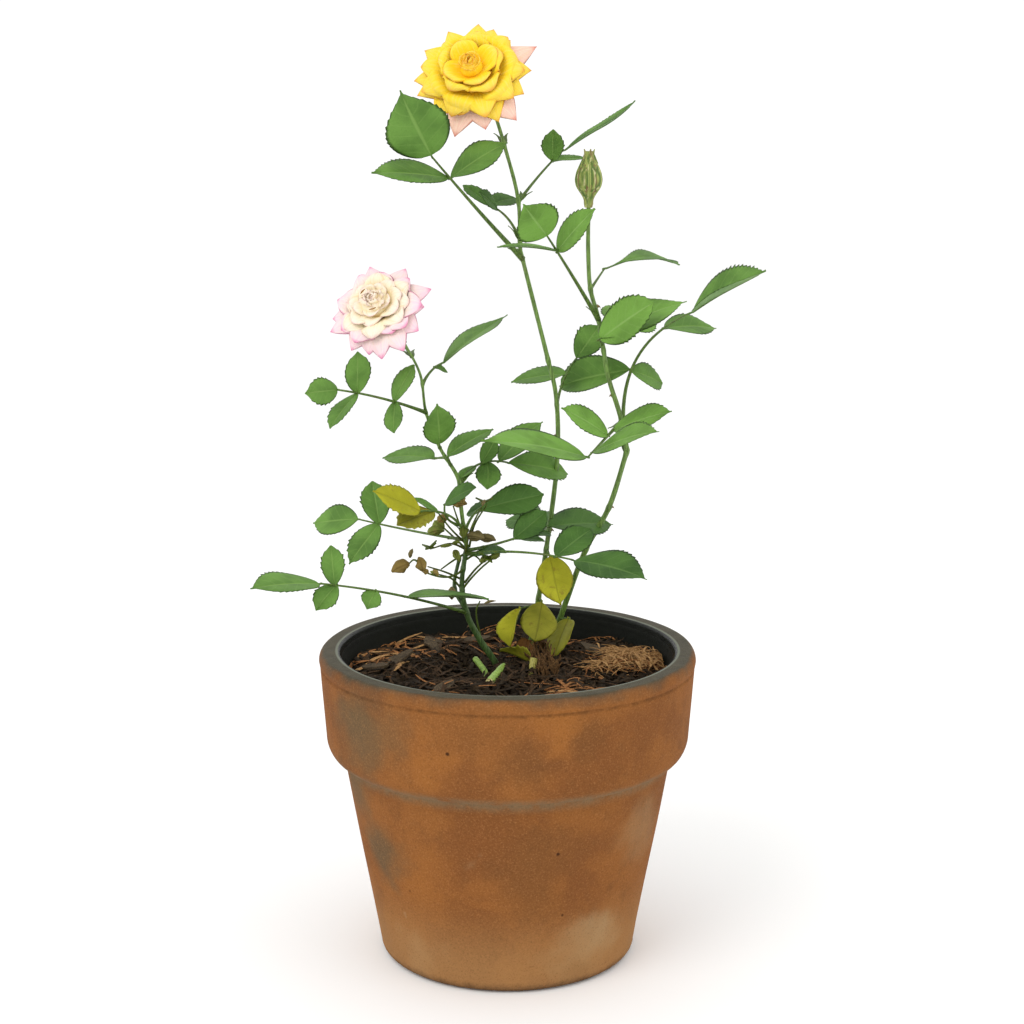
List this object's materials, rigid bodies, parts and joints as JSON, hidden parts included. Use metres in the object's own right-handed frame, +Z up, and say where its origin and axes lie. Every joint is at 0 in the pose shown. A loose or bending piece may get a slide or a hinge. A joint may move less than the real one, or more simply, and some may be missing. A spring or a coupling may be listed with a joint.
{
  "type": "potted rose bush",
  "caption": "Young miniature rose bush in a round terracotta pot: slender green canes with compound leaves, a yellow bloom, a pink bloom and a closed bud over bark mulch.",
  "frame": {"origin": "centre of the pot's flat underside, on the pot's axis", "axes": "+Z straight up along the pot and the plant, +X to the right and +Y away from someone facing the front, where both blooms turn their faces"},
  "size_m": [0.1868, 0.1592, 0.3646],
  "materials": {
    "fired_clay": "matte, unglazed, weathered",
    "bark": "rough",
    "green_cane": "satin",
    "green_leaf": "satin",
    "yellow_leaf": "satin",
    "pink_petals": "silky",
    "bud_sepals": "satin",
    "withered_leaf": "matte",
    "yellow_petals": "silky"
  },
  "bodies": {
    "root": {"terracotta_pot": "fired_clay", "bark_mulch": "bark", "bud_cane": "green_cane", "centre_cane": "green_cane", "cut_stub_brown": "green_cane", "cut_stub_green": "green_cane", "cut_stub_pale": "green_cane", "leaf_back_left": "green_leaf", "leaf_behind_bud_cane": "green_leaf", "leaf_behind_centre_cane": "green_leaf", "leaf_behind_pink_bloom": "green_leaf", "leaf_behind_yellow_bloom": "green_leaf", "leaf_bud_front": "green_leaf", "leaf_bud_left": "green_leaf", "leaf_bud_right": "green_leaf", "leaf_centre_back": "green_leaf", "leaf_dark": "green_leaf", "leaf_dark_right": "green_leaf", "leaf_far_right": "green_leaf", "leaf_folded": "green_leaf", "leaf_high_left": "green_leaf", "leaf_high_right": "green_leaf", "leaf_high_young": "green_leaf", "leaf_inner": "green_leaf", "leaf_low_left": "green_leaf", "leaf_low_right": "green_leaf", "leaf_middle": "green_leaf", "leaf_pink_right": "green_leaf", "leaf_side_left": "green_leaf", "leaf_single_left": "green_leaf", "leaf_single_right": "green_leaf", "leaf_single_up": "green_leaf", "leaf_yellowing": "yellow_leaf", "left_cane": "green_cane", "left_twin_shoot": "green_cane", "pink_bloom": "pink_petals", "pink_bloom_cane": "green_cane", "right_cane": "green_cane", "rose_bud": "bud_sepals", "withered_leaf_foot": "withered_leaf", "withered_sprig_lower_left": "withered_leaf", "withered_sprig_lower_right": "withered_leaf", "withered_sprig_upper_left": "withered_leaf", "withered_sprig_upper_right": "withered_leaf", "yellow_bloom": "yellow_petals", "yellow_bloom_cane": "green_cane", "yellow_leaf_high": "yellow_leaf", "yellow_leaf_left": "yellow_leaf", "yellow_leaf_middle": "yellow_leaf", "yellow_leaf_right": "yellow_leaf"}
  },
  "joints": []
}
